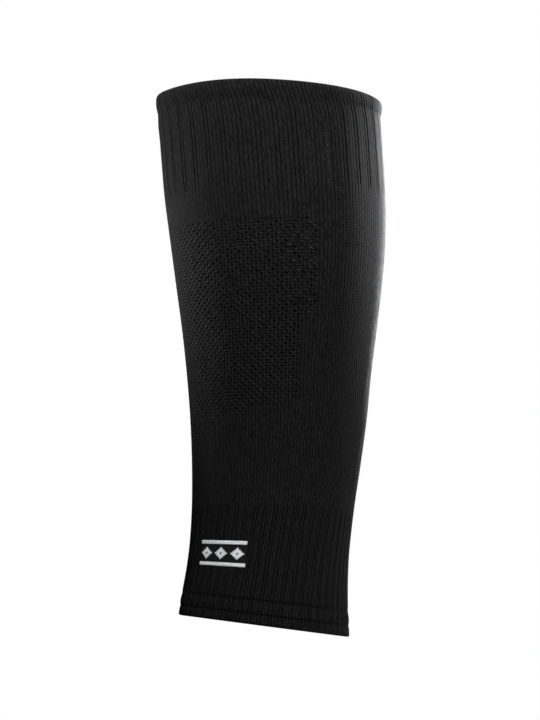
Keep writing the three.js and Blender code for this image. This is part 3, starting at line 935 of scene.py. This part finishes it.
def stitch_colour(g, leg, wale, course, stitch):
    """Yarn in lighter and darker streaks, with painted shade between the strands, where a wale's legs
    meet and at the wale's edges.
    """
    streak = g.combine(g.math("FLOOR", g.times(wale, STREAK_LEGS)), g.times(course, STREAK_COURSES))
    colour = g.mix(g.ramp(g.noise(streak, *STREAK_NOISE), *STREAK_RAMP), YARN, YARN_LIGHT)
    # Painted shade in the low gaps between the strands.
    colour = g.mix(g.ramp(stitch, *DARK_STRANDS), colour, PAINTED_SHADE_AND_DARK_YARN)
    # Painted shade where the two legs meet and between the wales.
    column = g.times(g.ramp(leg, *LIGHT_MIDDLE), g.ramp(leg, *DARK_EDGE))
    return g.mix(g.times(g.math("SUBTRACT", 1.0, column), DARK_EDGE_SHADE), colour, PAINTED_SHADE_AND_DARK_YARN)


# Paints shade along the ribs' grooves: the colour goes toward near black, as far as shade says.
def painted_groove_shade(g, colour, wale, ribs, shade):
    repeat = float(ribs["repeat"])
    low, high = (share * ribs["width"] for share in GROOVE_FADE)
    for line in ribs["lines"]:
        share = g.math("FRACT", g.math("ADD", g.math("DIVIDE", wale, repeat), 0.5 - line / repeat))
        off = g.times(g.away(share, 0.5), repeat)
        colour = g.mix(g.ramp(off, low, high, shade, 0.0), colour, PAINTED_SHADE_AND_DARK_YARN)
    return colour


# Paints shade along the seams: the colour goes toward near black.
def painted_seam_shade(g, colour, course, seams):
    for seam in seams:
        off = g.away(course, float(seam))
        colour = g.mix(g.ramp(off, *SEAM_FADE, SEAM_SHADE, 0.0), colour, PAINTED_SHADE_AND_DARK_YARN)
    return colour


def knit_material(name, relief=KNIT_RELIEF, ribs=None, shade=0.0, seams=()):
    """Weft knit, drawn over (wale, course) places. shade: how much shade is painted along the ribs'
    grooves.
    seams: the courses of seams, along which shade is painted."""
    g = Nodes(name)
    places = g.made("ShaderNodeUVMap", {}, uv_map="knit")
    wale, course = (g.made("ShaderNodeSeparateXYZ", {"Vector": places}, axis) for axis in "XY")
    leg = g.times(g.away(g.math("FRACT", wale), 0.5), 2.0)

    def speckle(spots, noise):
        return g.noise(g.combine(g.times(wale, spots[0]), g.times(course, spots[1])), *noise)

    stitch = stitch_height(g, leg, course)
    height = g.math("ADD", stitch, g.times(speckle(FUZZ_SPOTS, FUZZ_NOISE), FUZZ_SHARE))
    colour = stitch_colour(g, leg, wale, course, stitch)
    if ribs:
        colour = painted_groove_shade(g, colour, wale, ribs, shade)
    colour = painted_seam_shade(g, colour, course, seams)
    # Painted glint on the raised strands.
    glint = g.ramp(speckle(GLINT_SPOTS, GLINT_NOISE), *GLINT_RAMP)
    glint = g.times(glint, g.ramp(stitch, *GLINT_STRANDS))
    colour = g.mix(g.times(glint, GLINT_SHARE), colour, PAINTED_GLINT)
    bump = g.bump(height, KNIT_BUMP, relief)
    return g.finish({**KNIT_SURFACE, "Base Color": colour, "Normal": bump})


def yarn_material(name, low, high):
    """Plain spun yarn, for stitches that are modelled one by one."""
    g = Nodes(name)
    fuzz = g.noise(g.made("ShaderNodeTexCoord", {}, "Object"), *YARN_NOISE)
    colour = g.mix(g.ramp(fuzz, *YARN_RAMP), low, high)
    bump = g.bump(fuzz, YARN_BUMP, YARN_RELIEF)
    return g.finish({**YARN_SURFACE, "Base Color": colour, "Normal": bump})


HEM_DROP = 6.1  # how many millimetres the hem's lowest point lies under its middle
HEM_LOWEST = -(ORIGIN_SHARE * LENGTH + HEM_DROP) * MM

CAMERA_AWAY = 1.96
CAMERA_ASIDE = -0.0028
PHOTO_SIZE = (540, 720)
PHOTO_SCALE = 0.557 * MM  # metres a pixel at the leg's axis, on the frame's middle row
HEM_LOWEST_PIXEL = 636  # the photo's row that shows the hem's lowest point
SENSOR = 36.0  # millimetres
SIGHT_END = 50  # metres from the camera


def add_camera():
    """Level with the hem, looking a little up, as the photo was taken."""
    rise = (HEM_LOWEST_PIXEL - PHOTO_SIZE[1] / 2) * PHOTO_SCALE
    data = bpy.data.cameras.new("camera")
    camera = bpy.data.objects.new("camera", data)
    camera.location = (CAMERA_ASIDE, -CAMERA_AWAY, HEM_LOWEST)
    camera.rotation_euler = (math.pi / 2 + math.atan2(rise, CAMERA_AWAY), 0, 0)
    data.sensor_width = SENSOR
    data.lens = math.hypot(CAMERA_AWAY, rise) / PHOTO_SCALE / PHOTO_SIZE[1] * SENSOR
    data.clip_end = SIGHT_END
    bpy.context.scene.collection.objects.link(camera)
    bpy.context.scene.camera = camera


FLOOR_DROP = 0.13
FLOOR_REACH = 3.0
FLOOR_SURFACE = {
    "Base Color": (0.9, 0.9, 0.9, 1),
    "Roughness": 0.9,
    "Emission Color": (1, 1, 1, 1),
    "Emission Strength": 0.75,
}


def add_stage():
    """A pale floor well under the sleeve, which throws no light back on its black cloth."""
    mesh = bpy.data.meshes.new("floor")
    far = FLOOR_REACH
    z = HEM_LOWEST - FLOOR_DROP
    corners = [(-far, -far, z), (far, -far, z), (far, far, z), (-far, far, z)]
    mesh.from_pydata(corners, [], [(0, 1, 2, 3)])
    floor = bpy.data.objects.new("floor", mesh)
    bpy.context.scene.collection.objects.link(floor)
    mesh.materials.append(Nodes("floor_paper").finish(FLOOR_SURFACE))
    floor.visible_diffuse = False
    floor.visible_glossy = False


# Soft lamps: name, place and aim in metres, size across, power in watts, and spread in
# degrees.
LAMPS = [
    ("key", (0.4, -0.8, 0.6), (0, 0, 0), 0.4, 1.5, 60),
    ("top", (0, -0.35, 0.4), (0, -0.03, 0.05), 0.2, 0.16, 50),
    ("side_right", (0.5, 0.3, 0), (0.04, 0, 0), 0.12, 0.15, 25),
    ("back_right", (0.25, 0.5, 0.05), (0.05, 0, -0.02), 0.15, 0.55, 30),
    ("high_right", (0.35, 0.25, 0.35), (0.06, 0, 0.05), 0.12, 0.1, 18),
    ("high_left", (-0.45, -0.1, 0.3), (-0.05, 0, 0.04), 0.12, 0.08, 25),
    ("side_left", (-0.5, 0.25, 0.05), (-0.05, 0, -0.04), 0.12, 0.08, 22),
    ("low", (0.1, -0.8, -0.3), (-0.01, 0, -0.22), 0.2, 0.028, 20),
    ("back", (0, 0.9, 0.1), (0, 0, -0.1), 0.2, 1.4, 60),
]
ROOM_LIGHT = 0.02


def add_lamp(name, spot, aim, size, power, spread):
    light = bpy.data.lights.new(name, "AREA")
    light.shape = "DISK"
    light.size = size
    light.energy = power
    light.spread = math.radians(spread)
    lamp = bpy.data.objects.new(name, light)
    lamp.location = spot
    lamp.rotation_euler = (Vector(aim) - Vector(spot)).to_track_quat("-Z", "Y").to_euler()
    bpy.context.scene.collection.objects.link(lamp)


def add_light():
    """A white room, dimmer on the cloth than it looks, and soft lamps."""
    world = bpy.data.worlds.new("studio")
    bpy.context.scene.world = world
    world.use_nodes = True
    tree = world.node_tree
    seen = tree.nodes["Background"]
    seen.inputs["Color"].default_value = (1, 1, 1, 1)
    room = tree.nodes.new("ShaderNodeBackground")
    room.inputs["Strength"].default_value = ROOM_LIGHT
    ray = tree.nodes.new("ShaderNodeLightPath")
    mix = tree.nodes.new("ShaderNodeMixShader")
    tree.links.new(ray.outputs["Is Camera Ray"], mix.inputs[0])
    tree.links.new(room.outputs[0], mix.inputs[1])
    tree.links.new(seen.outputs[0], mix.inputs[2])
    tree.links.new(mix.outputs[0], tree.nodes["World Output"].inputs["Surface"])
    for lamp in LAMPS:
        add_lamp(*lamp)
    bpy.context.scene.view_settings.view_transform = "Standard"


def main():
    add_camera()
    knit = knit_material("knit_black")
    cuff = knit_material("knit_cuff", ribs=CUFF_RIBS, shade=CUFF_SHADE)
    eyelet = knit_material("knit_eyelet", relief=EYELET_RELIEF)
    # Shade is painted along the ankle's seam with the hem.
    ankle_seams = [HEM_HEIGHT / COURSE]
    ankle = knit_material("knit_ankle", ribs=ANKLE_RIBS, shade=ANKLE_SHADE, seams=ankle_seams)
    elastic = yarn_material("elastic_painted_glint", ELASTIC, ELASTIC_LIGHT)
    stitching = yarn_material("sewing_thread", YARN, YARN_LIGHT)
    # The eyelets' pit walls in near black: painted shade.
    hollow = yarn_material("eyelet_pit_shade", PAINTED_SHADE_AND_DARK_YARN, PAINTED_SHADE_AND_DARK_YARN)
    dark = yarn_material("dark_yarn", PAINTED_SHADE_AND_DARK_YARN, YARN_LIGHT)
    light = yarn_material("light_yarn", BADGE_YARN, BADGE_YARN_LIGHT)
    pieces = {
        "top_welt": make_welt([knit]),
        "upper_rib": make_cuff([cuff, elastic]),
        "calf_tube": make_tube([knit]),
        "mesh_panel": make_panel([eyelet, elastic, hollow]),
        "ankle_rib": make_ankle([ankle]),
        "bottom_hem": make_hem(stitching),
        "badge": make_badge(dark, light),
    }
    for node, piece in pieces.items():
        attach(piece, "root")
        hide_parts(node)
    add_stage()
    add_light()


main()
